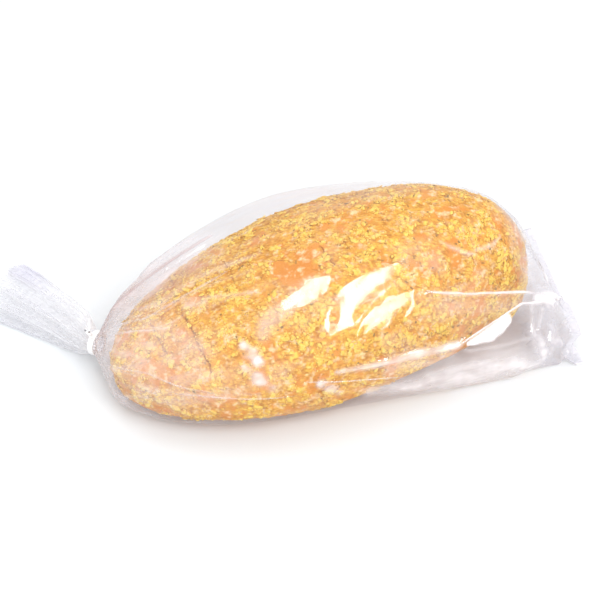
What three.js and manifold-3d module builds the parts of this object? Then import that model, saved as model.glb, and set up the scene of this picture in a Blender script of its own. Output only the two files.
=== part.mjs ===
// A loaf of bread in a clear side-fold bread bag, lying on its flat underside.
// The bag is stretched over the loaf, its welded end is spread flat at +X, and its
// mouth is gathered at -X by a twist tie, with a fanned tail of film beyond the tie.
//
// Units are millimetres, +Z is up and +X runs along the loaf towards the welded end.

import * as THREE from 'three';
import { ConvexHull } from 'three/addons/math/ConvexHull.js';
import { mergeVertices } from 'three/addons/utils/BufferGeometryUtils.js';
import Module from 'manifold-3d';

// ---------------------------------------------------------------- driving sizes

// loaf: an oval hearth loaf, fuller at +X, tapering to -X
const LOAF_LENGTH = 280;
const LOAF_WIDTH = 138;
const LOAF_RISE = 63.1;          // from the widest line up to the crown
const LOAF_BELLY = 31.2;         // from the round of the underside up to the widest line
const LOAF_SETTLE = 2.5;         // how much of that round is flattened where it rests
const LOAF_NOSE = 1.4;           // plan exponent of the tapered end
const LOAF_BUTT = 3.2;           // plan exponent of the full end
const LOAF_PLAN_TAPER = -0.25;
const LOAF_RISE_TAPER = 0.30;
const LOAF_ROUND = 2.25;         // roundness of the crown in cross-section
const LOAF_BOW = -6.6;           // how far both ends bow out of line
const LOAF_SWAY = -8.8;

// bag body
const FILM_CLEARANCE = 2;        // film to crust where it is tight
const NOSE_CLEARANCE = 4;        // more of it round the tapered end
const SLACK_FROM = -130;         // the loose ridge of film along the back of the crown
const SLACK_TO = 84;
const SLACK_STAND_OFF = 16;      // how far it stands off the crust near the neck
const FOLD_LEFT = [-62, -42];    // the side fold along the floor, in plan
const FOLD_RIGHT = [156, -78];
const FOLD_BULGE = 5;

// welded end: the weld runs across the bag from the floor up to a raised back corner
const WELD_LINE = [
  [156, -78, 0.5], [152, -66, 9], [160, -62, 12], [161, -44, 18],
  [158, -33, 20], [161, 1, 25], [162, 24, 30],
];
const WELD_THICKNESS = 1;
const WELD_FRONT_SHARE = 0.2;    // share of the girth between the middle of the underside and the front fold

// neck, tie and tail
const NECK_CENTRE = [-142, 33, 17.5];
const NECK_AXIS = [-0.66, 0.74, -0.1];
const NECK_RADIUS = 7.1;
const NECK_LENGTH = 6;
const PLEATS = 15;
const PLEAT_DEPTH = 1.5;
const TAIL_LOW_CORNER = [-196, 91, 0];
const TAIL_HIGH_CORNER = [-173, 96, 41];
const TAIL_SHOULDER = 11;        // how far its upper edge bulges behind the tie
const TAIL_THICKNESS = 7;
const TAIL_WAVE = 3.6;
const TAIL_WAVES = 3.5;
const TIE_WIDTH = 4;
const TIE_THICKNESS = 0.9;
const TIE_CLEARANCE = 0.35;
const TIE_STUB = 9;              // the twisted ends

// facets
const AROUND = 60;
const BODY_RINGS = 30;
const DOME_RINGS = 10;
const TAIL_RINGS = 12;

// ---------------------------------------------------------------- small helpers

const V = (a) => new THREE.Vector3(a[0], a[1], a[2]);
const lerp = THREE.MathUtils.lerp;
const smooth = THREE.MathUtils.smoothstep;
const signedPower = (value, power) => Math.sign(value) * Math.abs(value) ** power;

// a line through points, by its own length
function byLength(points, share) {
  const ends = [0];
  for (let i = 1; i < points.length; i++) ends.push(ends[i - 1] + V(points[i]).distanceTo(V(points[i - 1])));
  const target = share * ends[ends.length - 1];
  let i = 1;
  while (i < points.length - 1 && ends[i] < target) i++;
  return V(points[i - 1]).lerp(V(points[i]), (target - ends[i - 1]) / (ends[i] - ends[i - 1]));
}

// ---------------------------------------------------------------- loaf

function loafSection(x) {
  const u = THREE.MathUtils.clamp(x / (LOAF_LENGTH / 2), -1, 1);
  const s = Math.max(1 - Math.abs(u) ** (u < 0 ? LOAF_NOSE : LOAF_BUTT), 0);
  return {
    middle: LOAF_BOW * u * u + LOAF_SWAY * (u ** 3 - 0.6 * u),
    half: (LOAF_WIDTH / 2) * Math.sqrt(s) * (1 + LOAF_PLAN_TAPER * u - 0.04 * (u * u - 0.33)),
    rise: LOAF_RISE * s ** (u < 0 ? 0.52 : 0.385) * (1 + LOAF_RISE_TAPER * u - 0.055 * (u * u - 0.33)),
    belly: LOAF_BELLY * s ** 0.14,
  };
}

function loafPoint(x, t, out = 0) {
  const { middle, half, rise, belly } = loafSection(x);
  const c = Math.cos(t), s = Math.sin(t);
  const y = middle + (half + out) * signedPower(c, 2 / LOAF_ROUND);
  const z = LOAF_BELLY - LOAF_SETTLE + (s > 0 ? (rise + LOAF_SETTLE + out) * s ** (2 / LOAF_ROUND) : -(belly + out) * (-s) ** (2 / 3));
  return new THREE.Vector3(x, y, Math.max(z, 0));
}

// ---------------------------------------------------------------- bag body

const neckCentre = V(NECK_CENTRE);
const neckAxis = V(NECK_AXIS).normalize();
const neckUp = new THREE.Vector3(0, 0, 1).addScaledVector(neckAxis, -neckAxis.z).normalize();
const neckFront = new THREE.Vector3().crossVectors(neckUp, neckAxis).normalize();
if (neckFront.y > 0) neckFront.negate();

function neckRing(distance, radius) {
  const centre = neckCentre.clone().addScaledVector(neckAxis, distance);
  return Array.from({ length: AROUND }, (_, i) => {
    const a = (i / AROUND) * Math.PI * 2;
    const r = radius * (1 - 0.05 * (1 - Math.cos(a * PLEATS)));
    return centre.clone().addScaledVector(neckUp, -Math.cos(a) * r).addScaledVector(neckFront, Math.sin(a) * r);
  });
}

const weldTop = (share) => { const p = byLength(WELD_LINE, share); p.z += WELD_THICKNESS / 2; return p; };
const weldUnder = (share) => { const p = byLength(WELD_LINE, share); p.z = Math.max(p.z - WELD_THICKNESS / 2, 0); return p; };

// the weld as a ring: along its underside to the front, back over its top, and under again
function weldRing(out = 0) {
  const middle = 0.5;
  return Array.from({ length: AROUND }, (_, i) => {
    const f = i / AROUND;
    let p;
    if (f < WELD_FRONT_SHARE) p = weldUnder(lerp(middle, 0, f / WELD_FRONT_SHARE));
    else if (f <= 1 - WELD_FRONT_SHARE) p = weldTop((f - WELD_FRONT_SHARE) / (1 - 2 * WELD_FRONT_SHARE));
    else p = weldUnder(lerp(1, middle, (f - 1 + WELD_FRONT_SHARE) / WELD_FRONT_SHARE));
    p.x += out;
    return p;
  });
}

// film under tension is the convex cover of all that it passes over
function stretchedFilm() {
  const points = [];
  for (let i = 0; i <= 56; i++) {
    const x = (LOAF_LENGTH / 2) * Math.sin(((i / 56) * 2 - 1) * Math.PI / 2);
    const clear = lerp(NOSE_CLEARANCE, FILM_CLEARANCE, smooth(x, -130, -95));
    for (let k = 0; k < 48; k++) {
      const p = loafPoint(x, (k / 48) * Math.PI * 2, clear);
      p.x -= clear * (1 - smooth(x, -140, -125));
      points.push(p);
    }
  }
  for (let i = 0; i <= 16; i++) {
    const w = i / 16, x = lerp(SLACK_FROM, SLACK_TO, w);
    const off = SLACK_STAND_OFF * (1 - smooth(w, 0.1, 1.15)) * smooth(w, -0.3, 0.06);
    const p = loafPoint(x, Math.PI * 0.26, FILM_CLEARANCE);
    points.push(p.add(new THREE.Vector3(0, 0.72 * off, 0.69 * off)));
    const q = loafPoint(x, Math.PI * 0.12, FILM_CLEARANCE);
    points.push(q.add(new THREE.Vector3(0, 0.6 * off, 0.2 * off)));
  }
  for (let i = 0; i <= 12; i++) {
    const w = i / 12;
    const y = lerp(FOLD_LEFT[1], FOLD_RIGHT[1], w) - 4 * FOLD_BULGE * w * (1 - w);
    points.push(new THREE.Vector3(lerp(FOLD_LEFT[0], FOLD_RIGHT[0], w), y, 0));
  }
  for (let i = 0; i <= 12; i++) { points.push(weldTop(i / 12)); points.push(weldUnder(i / 12)); }
  points.push(...neckRing(-NECK_LENGTH / 2, NECK_RADIUS));
  const hull = new ConvexHull().setFromPoints(points);
  return hull.faces.map((face) => ({ n: face.normal, d: face.constant }));
}
const filmPlanes = stretchedFilm();

function reach(origin, direction) {
  let nearest = Infinity;
  for (const { n, d } of filmPlanes) {
    const slope = n.dot(direction);
    if (slope > 1e-9) nearest = Math.min(nearest, (d - n.dot(origin)) / slope);
  }
  return nearest;
}

function spread(origin, directionAt) {
  return Array.from({ length: AROUND }, (_, i) => {
    const direction = directionAt((i / AROUND) * Math.PI * 2);
    return origin.clone().addScaledVector(direction, reach(origin, direction));
  });
}

// even out the facets of a ring by its own length, starting under its middle
function evenRing(ring, share) {
  const closed = [...ring, ring[0]];
  const ends = [0];
  for (let i = 1; i < closed.length; i++) ends.push(ends[i - 1] + closed[i].distanceTo(closed[i - 1]));
  const total = ends[ends.length - 1];
  return ring.map((p, i) => {
    const target = (i / ring.length) * total;
    let k = 1;
    while (k < closed.length - 1 && ends[k] < target) k++;
    const q = closed[k - 1].clone().lerp(closed[k], (target - ends[k - 1]) / (ends[k] - ends[k - 1]));
    return p.clone().lerp(q, share);
  });
}

const bodyDirection = (a) => new THREE.Vector3(0, -Math.sin(a), -Math.cos(a));

function bodyRings() {
  const rings = [];
  const from = -92, to = 140;
  for (let i = 0; i <= BODY_RINGS; i++) {
    const x = lerp(from, to, i / BODY_RINGS);
    const { middle } = loafSection(x);
    const tent = smooth(x, 90, to);
    const origin = new THREE.Vector3(x, lerp(middle, -34, tent), lerp(30, 12, tent));
    rings.push(evenRing(spread(origin, bodyDirection), 0.85));
  }
  return rings;
}

// the blunt gathered end: rays swing from across the loaf to the neck
function domeRings() {
  const origin = new THREE.Vector3(-92, loafSection(-92).middle, 30);
  const aim = neckCentre.clone().addScaledVector(neckAxis, -NECK_LENGTH / 2).sub(origin).normalize();
  const rings = [];
  for (let i = DOME_RINGS; i >= 1; i--) {
    const w = i / (DOME_RINGS + 1);
    const ring = spread(origin, (a) => {
      const across = bodyDirection(a);
      const swing = w * 0.5 * Math.PI;
      return across.multiplyScalar(Math.cos(swing)).addScaledVector(aim, Math.sin(swing)).normalize();
    });
    const depth = PLEAT_DEPTH * smooth(w, 0.25, 0.95);
    rings.push(ring.map((p, k) => {
      const inward = origin.clone().sub(p).normalize();
      const wave = 0.5 - 0.5 * Math.cos((k / AROUND) * Math.PI * 2 * PLEATS);
      return p.addScaledVector(inward, depth * wave);
    }));
  }
  return rings;
}

// ---------------------------------------------------------------- tail

const mouthLow = V(TAIL_LOW_CORNER), mouthHigh = V(TAIL_HIGH_CORNER);
const tailAxis = mouthLow.clone().lerp(mouthHigh, 0.5).sub(neckCentre).normalize();
const mouthUp = mouthHigh.clone().sub(mouthLow).normalize();

// the tail hangs between a low edge along the floor and a high edge that bulges behind the tie
function tailRing(share) {
  const start = neckCentre.clone().addScaledVector(neckAxis, NECK_LENGTH / 2);
  const sprung = 1 - Math.exp(-share / 0.08);
  const low = start.clone().addScaledVector(neckUp, -NECK_RADIUS).lerp(mouthLow, share);
  low.z = Math.max(low.z - 9 * sprung * (1 - share), 0);
  const high = start.clone().addScaledVector(neckUp, NECK_RADIUS).lerp(mouthHigh, share);
  high.addScaledVector(mouthUp, TAIL_SHOULDER * sprung * (1 - share) ** 0.7);
  const middle = low.clone().lerp(high, 0.5);
  const up = high.clone().sub(low).normalize();
  const half = high.distanceTo(low) / 2;
  const axis = neckAxis.clone().lerp(tailAxis, smooth(share, 0, 0.35)).normalize();
  const front = new THREE.Vector3().crossVectors(up, axis).normalize();
  if (front.dot(neckFront) < 0) front.negate();
  const thick = lerp(NECK_RADIUS, TAIL_THICKNESS / 2, smooth(share, 0, 0.6)) + 2 * sprung * (1 - share);
  const wave = TAIL_WAVE * sprung * lerp(0.5, 1, share);
  return Array.from({ length: AROUND }, (_, i) => {
    const a = (i / AROUND) * Math.PI * 2;
    const c = -Math.cos(a), s = Math.sin(a);
    const p = middle.clone();
    p.addScaledVector(up, half * c);
    p.addScaledVector(front, thick * signedPower(s, 0.8) + wave * Math.sin(c * Math.PI * TAIL_WAVES) * Math.sqrt(Math.abs(s)));
    p.addScaledVector(tailAxis, 6 * share * (1 - c * c));
    p.z = Math.max(p.z, 0);
    return p;
  });
}

// ---------------------------------------------------------------- one closed skin from rings

function skin(rings) {
  const positions = [], index = [];
  for (const ring of rings) for (const p of ring) positions.push(p.x, p.y, p.z);
  const n = rings[0].length;
  for (let r = 0; r < rings.length - 1; r++) {
    for (let i = 0; i < n; i++) {
      const j = (i + 1) % n;
      const a = r * n + i, b = r * n + j, c = (r + 1) * n + j, d = (r + 1) * n + i;
      index.push(a, c, b, a, d, c);
    }
  }
  // each end is closed across its thin way, from the low edge to the high one
  const zip = (start, flip, low) => {
    const at = (k) => start + ((k % n) + n) % n;
    for (let k = 0; k < n / 2; k++) {
      const a = at(low + k), b = at(low + k + 1), c = at(low - k - 1), d = at(low - k);
      const add = (x, y, z) => { if (x !== y && y !== z && x !== z) index.push(...(flip ? [x, y, z] : [x, z, y])); };
      add(a, c, b);
      add(a, d, c);
    }
  };
  zip(0, false, 0);
  zip((rings.length - 1) * n, true, Math.round(WELD_FRONT_SHARE * n));
  const geometry = new THREE.BufferGeometry();
  geometry.setAttribute('position', new THREE.Float32BufferAttribute(positions, 3));
  geometry.setIndex(index);
  return geometry;
}

function bagGeometry() {
  const rings = [];
  for (let i = TAIL_RINGS; i >= 1; i--) rings.push(tailRing((i / TAIL_RINGS) ** 1.25));
  rings.push(neckRing(NECK_LENGTH / 2, NECK_RADIUS), neckRing(0, NECK_RADIUS), neckRing(-NECK_LENGTH / 2, NECK_RADIUS));
  rings.push(...domeRings(), ...bodyRings());
  rings.push(weldRing(-6), weldRing(0));
  return skin(rings);
}

// ---------------------------------------------------------------- twist tie

const wasm = await Module();
wasm.setup();

function solid(geometry) {
  const bare = geometry.clone();
  bare.deleteAttribute('normal');
  bare.deleteAttribute('uv');
  const merged = mergeVertices(bare, 1e-4);
  return new wasm.Manifold(new wasm.Mesh({
    numProp: 3,
    vertProperties: new Float32Array(merged.attributes.position.array),
    triVerts: new Uint32Array(merged.index.array),
  }));
}

function meshGeometry(body) {
  const { vertProperties, triVerts } = body.getMesh();
  const geometry = new THREE.BufferGeometry();
  geometry.setAttribute('position', new THREE.Float32BufferAttribute(vertProperties, 3));
  geometry.setIndex(Array.from(triVerts));
  return geometry;
}

function tieGeometry() {
  const inner = NECK_RADIUS + TIE_CLEARANCE, outer = inner + TIE_THICKNESS, w = TIE_WIDTH / 2;
  const band = new THREE.LatheGeometry([
    new THREE.Vector2(inner, -w), new THREE.Vector2(outer - 0.2, -w), new THREE.Vector2(outer, -w + 0.3),
    new THREE.Vector2(outer, w - 0.3), new THREE.Vector2(outer - 0.2, w), new THREE.Vector2(inner, w),
    new THREE.Vector2(inner, -w),
  ], 40);
  // the two ends, twisted round each other
  const stub = new THREE.BoxGeometry(TIE_WIDTH * 0.8, TIE_STUB, TIE_THICKNESS * 1.5, 2, 14, 1);
  const at = stub.attributes.position;
  for (let i = 0; i < at.count; i++) {
    const share = at.getY(i) / TIE_STUB + 0.5;
    const turn = share * Math.PI * 1.7;
    const x = at.getX(i) * lerp(0.75, 1, share), z = at.getZ(i);
    at.setXYZ(i, x * Math.cos(turn) - z * Math.sin(turn), at.getY(i) + TIE_STUB / 2 + outer - 0.7, x * Math.sin(turn) + z * Math.cos(turn));
  }
  // the band's own frame: Y along the neck, the stub rises from its upper front
  const stubSide = neckUp.clone().multiplyScalar(0.93).addScaledVector(neckFront, 0.36).normalize();
  const acrossStub = new THREE.Vector3().crossVectors(stubSide, neckAxis).normalize();
  const bandBasis = new THREE.Matrix4().makeBasis(acrossStub, neckAxis, new THREE.Vector3().crossVectors(acrossStub, neckAxis)).setPosition(neckCentre);
  const stubBasis = new THREE.Matrix4().makeBasis(neckAxis.clone(), stubSide, new THREE.Vector3().crossVectors(neckAxis, stubSide)).setPosition(neckCentre);
  band.applyMatrix4(bandBasis);
  stub.applyMatrix4(stubBasis);
  return meshGeometry(solid(band).add(solid(stub)));
}

// ---------------------------------------------------------------- the part

const bag = bagGeometry();
const tie = tieGeometry();
bag.computeBoundingBox();
const whole = bag.boundingBox.clone();
tie.computeBoundingBox();
whole.union(tie.boundingBox);
const centre = whole.getCenter(new THREE.Vector3());

const group = new THREE.Group();
for (const [name, geometry, material] of [
  ['bread_bag', bag, new THREE.MeshStandardMaterial({ color: 0xe9b273, roughness: 0.35, metalness: 0 })],
  ['neck_tie', tie, new THREE.MeshStandardMaterial({ color: 0xf6f6f4, roughness: 0.5, metalness: 0 })],
]) {
  geometry.translate(-centre.x, -centre.y, -whole.min.z);
  const mesh = new THREE.Mesh(geometry, material);
  mesh.name = name;
  group.add(mesh);
}

export default group;
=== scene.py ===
"""A loaf of bread in a clear side-fold bread bag: its looks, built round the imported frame.

Shapes are worked out in millimetres in the loaf's own frame (+X towards the welded end, z 0 on the
floor) and moved into the row frame, in metres, when a mesh is made.
"""

import math

import bmesh
import bpy
import numpy as np
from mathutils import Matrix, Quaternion, Vector
from mathutils.bvhtree import BVHTree
from mathutils.kdtree import KDTree


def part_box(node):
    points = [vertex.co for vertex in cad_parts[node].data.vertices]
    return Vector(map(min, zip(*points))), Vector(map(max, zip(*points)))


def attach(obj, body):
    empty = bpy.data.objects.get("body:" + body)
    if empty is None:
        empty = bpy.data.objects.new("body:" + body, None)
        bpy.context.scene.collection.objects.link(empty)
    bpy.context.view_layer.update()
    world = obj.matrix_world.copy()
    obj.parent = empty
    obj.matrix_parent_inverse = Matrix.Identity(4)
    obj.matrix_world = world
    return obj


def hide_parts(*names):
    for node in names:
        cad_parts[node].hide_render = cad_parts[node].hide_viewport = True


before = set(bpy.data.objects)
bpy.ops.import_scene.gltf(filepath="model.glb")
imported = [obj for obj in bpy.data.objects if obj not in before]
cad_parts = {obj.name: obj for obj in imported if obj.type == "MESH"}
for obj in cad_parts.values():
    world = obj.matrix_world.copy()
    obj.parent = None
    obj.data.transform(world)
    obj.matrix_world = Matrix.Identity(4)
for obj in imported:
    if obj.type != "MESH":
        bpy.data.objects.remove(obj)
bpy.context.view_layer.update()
bag_lo, bag_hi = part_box("bread_bag")
# the weld's far corner is at x 162 and the front fold's corner at y -78 in the loaf's own frame
SHIFT = np.array([bag_hi.x * 1000 - 162.0, bag_lo.y * 1000 + 78.0, 0.0])

# ---------------------------------------------------------------- small maths


def smooth(x, a, b):
    t = np.clip((np.asarray(x, float) - a) / (b - a), 0, 1)
    return t * t * (3 - 2 * t)


def lerp(a, b, t):
    return a + (b - a) * t


def spow(v, p):
    return np.sign(v) * np.abs(v) ** p


def unit(v):
    v = np.asarray(v, float)
    return v / np.maximum(np.linalg.norm(v, axis=-1, keepdims=True), 1e-12)


def hashed(ix, iy, iz, seed):
    h = (ix * 73856093) ^ (iy * 19349663) ^ (iz * 83492791) ^ (seed * 50331653 + 12582917)
    h = (h ^ (h >> 15)) * 2246822519 & 0xFFFFFFFF
    h = (h ^ (h >> 13)) * 3266489917 & 0xFFFFFFFF
    return ((h ^ (h >> 16)) & 0xFFFFFF) / float(0xFFFFFF)


def value_noise(p, seed=0):
    """Smooth noise from -1 to 1 at the points p (n, 3)."""
    p = np.asarray(p, float)
    base = np.floor(p).astype(np.int64)
    f = p - base
    f = f * f * f * (f * (f * 6 - 15) + 10)
    total = np.zeros(len(p))
    for dx in (0, 1):
        wx = f[:, 0] if dx else 1 - f[:, 0]
        for dy in (0, 1):
            wy = f[:, 1] if dy else 1 - f[:, 1]
            for dz in (0, 1):
                wz = f[:, 2] if dz else 1 - f[:, 2]
                total += wx * wy * wz * hashed(base[:, 0] + dx, base[:, 1] + dy, base[:, 2] + dz, seed)
    return total * 2 - 1


def fbm(p, scale, octaves=3, seed=0, gain=0.5):
    p = np.asarray(p, float) / scale
    total, weight = np.zeros(len(p)), 0.0
    for k in range(octaves):
        total += gain ** k * value_noise(p * 2 ** k + 17.3 * k, seed + k)
        weight += gain ** k
    return total / weight


def ridged(n):
    """Sharp crests from smooth noise, 0 to 1."""
    return 1 - np.abs(n)


def even_ring(ring, share, n=None, weight=None):
    """Points of a closed ring spaced by its own length."""
    closed = np.vstack([ring, ring[:1]])
    step = np.linalg.norm(np.diff(closed, axis=0), axis=1)
    if weight is not None:
        w = np.append(weight, weight[:1])
        step = step * 0.5 * (w[1:] + w[:-1])
    ends = np.concatenate([[0], np.cumsum(step)])
    n = n or len(ring)
    target = np.arange(n) / n * ends[-1]
    even = np.stack([np.interp(target, ends, closed[:, k]) for k in range(3)], -1)
    return even if share >= 1 else lerp(ring, even, share)


# ---------------------------------------------------------------- loaf form

HALF_LENGTH = 140.0
BELLY = 31.2
SETTLE = 2.5


def section(x):
    u = np.clip(np.asarray(x, float) / HALF_LENGTH, -1, 1)
    s = np.maximum(1 - np.abs(u) ** np.where(u < 0, 1.4, 3.2), 0)
    middle = -6.6 * u * u - 8.8 * (u ** 3 - 0.6 * u)
    half = 69.0 * np.sqrt(s) * (1 - 0.25 * u - 0.04 * (u * u - 0.33))
    rise = 63.1 * s ** np.where(u < 0, 0.52, 0.385) * (1 + 0.30 * u - 0.055 * (u * u - 0.33))
    return middle, half, rise, BELLY * s ** 0.14


def loaf(x, t, out=0.0, floor=0.0):
    x, t = np.broadcast_arrays(np.asarray(x, float), np.asarray(t, float))
    middle, half, rise, belly = section(x)
    c, s = np.cos(t), np.sin(t)
    y = middle + (half + out) * spow(c, 2 / 2.25)
    z = BELLY - SETTLE + np.where(
        s > 0, (rise + SETTLE + out) * np.abs(s) ** (2 / 2.25), -(belly + out) * np.abs(s) ** (2 / 3)
    )
    return np.stack([x, y, np.maximum(z, floor)], -1)


# ---------------------------------------------------------------- film form

NECK = np.array([-142.0, 33.0, 17.5])
NECK_AXIS = unit([-0.66, 0.74, -0.1])
NECK_UP = unit(np.array([0, 0, 1.0]) - NECK_AXIS * NECK_AXIS[2])
NECK_FRONT = unit(np.cross(NECK_UP, NECK_AXIS))
if NECK_FRONT[1] > 0:
    NECK_FRONT = -NECK_FRONT
NECK_R = 7.1
FRONT_SHARE = 0.2
WELD = np.array([
    [156, -78, 0.5], [152, -66, 9], [160, -62, 12], [161, -44, 18], [158, -33, 20], [161, 1, 25], [162, 24, 30],
], float)


def along(points, share):
    """Points at the given shares of a polyline's length."""
    step = np.linalg.norm(np.diff(points, axis=0), axis=1)
    ends = np.concatenate([[0], np.cumsum(step)])
    target = np.asarray(share, float) * ends[-1]
    return np.stack([np.interp(target, ends, points[:, k]) for k in range(points.shape[1])], -1)


def weld(share, side):
    p = along(WELD, share)
    p[:, 2] = np.maximum(p[:, 2] + side * 0.5, 0)
    return p


def neck_ring(distance, radius, n, pleat=0.05, count=15):
    a = np.arange(n) / n * 2 * np.pi
    r = radius * (1 - pleat * (1 - np.cos(a * count)))
    centre = NECK + NECK_AXIS * distance
    return centre - np.outer(np.cos(a) * r, NECK_UP) + np.outer(np.sin(a) * r, NECK_FRONT)


def weld_ring(out, n):
    f = np.arange(n) / n
    ring = np.where(
        (f < FRONT_SHARE)[:, None], weld(np.clip(lerp(0.5, 0, f / FRONT_SHARE), 0, 1), -1),
        np.where((f <= 1 - FRONT_SHARE)[:, None], weld(np.clip((f - FRONT_SHARE) / (1 - 2 * FRONT_SHARE), 0, 1), 1),
                 weld(np.clip(lerp(1, 0.5, (f - 1 + FRONT_SHARE) / FRONT_SHARE), 0, 1), -1)),
    )
    ring[:, 0] += out
    return ring


def film_planes():
    """Film under tension is the convex cover of all that it passes over."""
    points = []
    x = HALF_LENGTH * np.sin((np.arange(57) / 56 * 2 - 1) * np.pi / 2)
    clear = lerp(4.0, 2.0, smooth(x, -130, -95))
    t = np.arange(48) / 48 * 2 * np.pi
    for xi, ci in zip(x, clear):
        p = loaf(xi, t, ci)
        p[:, 0] -= ci * (1 - smooth(xi, -140, -125))
        points.append(p)
    w = np.arange(17) / 16
    x = lerp(-130.0, 84.0, w)
    off = (16 * (1 - smooth(w, 0.1, 1.15)) * smooth(w, -0.3, 0.06))[:, None]
    points.append(loaf(x, math.pi * 0.26, 2.0) + off * np.array([0, 0.72, 0.69]))
    points.append(loaf(x, math.pi * 0.12, 2.0) + off * np.array([0, 0.6, 0.2]))
    w = np.arange(13) / 12
    points.append(np.stack([lerp(-62.0, 156.0, w), lerp(-42.0, -78.0, w) - 20 * w * (1 - w), 0 * w], -1))
    points.append(weld(w, 1))
    points.append(weld(w, -1))
    points.append(neck_ring(-3, NECK_R, 60))
    bm = bmesh.new()
    for p in np.vstack(points):
        bm.verts.new(p)
    bmesh.ops.convex_hull(bm, input=list(bm.verts))
    inside = np.array([0, -5, 40.0])
    planes = {}
    for f in bm.faces:
        n = np.array(f.normal)
        if f.calc_area() < 1e-5:
            continue
        v = np.array(f.verts[0].co)
        if n @ (v - inside) < 0:
            n = -n
        planes[tuple(np.round(np.append(n, n @ v), 4))] = (n, n @ v)
    bm.free()
    return np.array([a for a, _ in planes.values()]), np.array([b for _, b in planes.values()])


PLANE_N, PLANE_D = film_planes()


def cast(origin, direction):
    """Where rays from inside meet the stretched film."""
    origin, direction = np.broadcast_arrays(np.asarray(origin, float), np.asarray(direction, float))
    out = np.empty_like(origin)
    for k in range(0, len(origin), 4000):
        o, d = origin[k:k + 4000], direction[k:k + 4000]
        slope = d @ PLANE_N.T
        gap = PLANE_D - o @ PLANE_N.T
        reach = np.where(slope > 1e-9, gap / np.where(slope > 1e-9, slope, 1), np.inf).min(1)
        out[k:k + 4000] = o + d * reach[:, None]
    return out


def inside_of(p):
    """A point well inside the film for each point on it, for casting back out to it."""
    x = np.clip(p[:, 0], -92, 140)
    tent = smooth(x, 90, 140)
    return np.stack([x, lerp(section(x)[0], -34.0, tent), lerp(30.0, 12.0, tent)], -1)


# ---------------------------------------------------------------- meshes from arrays

def make_mesh(name, verts, tris, marks=None, flat=False):
    me = bpy.data.meshes.new(name)
    co = ((np.asarray(verts, float) + SHIFT) / 1000).astype(np.float32)
    tris = np.asarray(tris, np.int32)
    me.vertices.add(len(co))
    me.vertices.foreach_set("co", co.ravel())
    me.loops.add(tris.size)
    me.loops.foreach_set("vertex_index", tris.ravel())
    me.polygons.add(len(tris))
    me.polygons.foreach_set("loop_start", np.arange(0, tris.size, 3, dtype=np.int32))
    me.polygons.foreach_set("loop_total", np.full(len(tris), 3, np.int32))
    me.update(calc_edges=True)
    me.validate()
    me.polygons.foreach_set("use_smooth", np.full(len(me.polygons), not flat))
    for key, values in (marks or {}).items():
        layer = me.attributes.new(key, "FLOAT", "POINT")
        layer.data.foreach_set("value", np.asarray(values, np.float32))
    me.update()
    o = bpy.data.objects.new(name, me)
    bpy.context.scene.collection.objects.link(o)
    return o


def grid_tris(rows, columns, closed, start=0):
    """Triangles of a grid of points, its columns closed into rings or not."""
    r = np.arange(rows - 1)[:, None]
    c = np.arange(columns if closed else columns - 1)[None, :]
    a = start + r * columns + c
    b = start + r * columns + (c + 1) % columns
    d = a + columns
    e = b + columns
    first = np.stack([a, b, e], -1).reshape(-1, 3)
    second = np.stack([a, e, d], -1).reshape(-1, 3)
    return np.vstack([first, second])


def grid_normals(g, closed):
    """Normals of a grid of points (rows, columns, 3)."""
    du = np.gradient(g, axis=0)
    if closed:
        dv = (np.roll(g, -1, 1) - np.roll(g, 1, 1)) / 2
    else:
        dv = np.gradient(g, axis=1)
    return unit(np.cross(du, dv))


# ---------------------------------------------------------------- film body

AROUND = 300


def film_rings():
    rings, kind = [], []
    for d in np.linspace(3.0, -3.0, 9):
        rings.append(neck_ring(d, NECK_R, AROUND))
    origin = np.array([-92.0, section(-92.0)[0], 30.0])
    aim = unit(NECK - 3 * NECK_AXIS - origin)
    a = np.arange(AROUND) / AROUND * 2 * np.pi
    across = np.stack([0 * a, -np.sin(a), -np.cos(a)], -1)
    dome = []
    for w in np.linspace(0.952, 0.012, 66):
        swing = w * 0.5 * math.pi
        ring = cast(origin, unit(across * math.cos(swing) + aim * math.sin(swing)))
        dome.append(even_ring(ring, 0.85 * float(1 - smooth(w, 0, 0.6))))
    last = neck_ring(-3, NECK_R, AROUND)
    for s in (0.2, 0.4, 0.6, 0.8):
        rings.append(lerp(last, dome[0], s))
    rings += dome
    for x in np.linspace(-92, 140, 224):
        o = inside_of(np.array([[x, 0, 0]]))[0]
        rings.append(even_ring(cast(o, across), 0.85))
    last, near, edge = rings[-1], weld_ring(-6, AROUND), weld_ring(0, AROUND)
    for s in np.linspace(0, 1, 13)[1:]:
        rings.append(lerp(last, near, s))
    for s in np.linspace(0, 1, 7)[1:]:
        rings.append(lerp(near, edge, s))
    return np.array(rings)


film = film_rings()
ROWS = len(film)
NECK_ROW = 8                 # the last ring under the tie
DOME_ROW = NECK_ROW + 5
BODY_ROW = DOME_ROW + 66
END_ROW = BODY_ROW + 223


def relax(g, times, rows):
    """Rounds the corners of a grid slightly."""
    for _ in range(times):
        mid = (g[rows.start - 1:rows.stop - 1] + g[rows.start + 1:rows.stop + 1]
               + np.roll(g[rows], 1, 1) + np.roll(g[rows], -1, 1)) / 4
        g[rows] = lerp(g[rows], mid, 0.5)
    return g


film = relax(film, 3, slice(DOME_ROW, END_ROW + 8))
film_n = grid_normals(film, True)
outward = film - np.array([0, -5, 35.0])
film_n *= np.where((film_n * outward).sum(-1, keepdims=True) < 0, -1, 1)

# how far each ring is from the neck, along the film
ring_gap = np.linalg.norm(np.diff(film, axis=0), axis=-1).mean(1)
from_neck = np.concatenate([[0], np.cumsum(ring_gap)]) - ring_gap[:NECK_ROW].sum()
S = np.repeat(from_neck[:, None], AROUND, 1)
A = np.repeat((np.arange(AROUND) / AROUND)[None, :], ROWS, 0)


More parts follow.
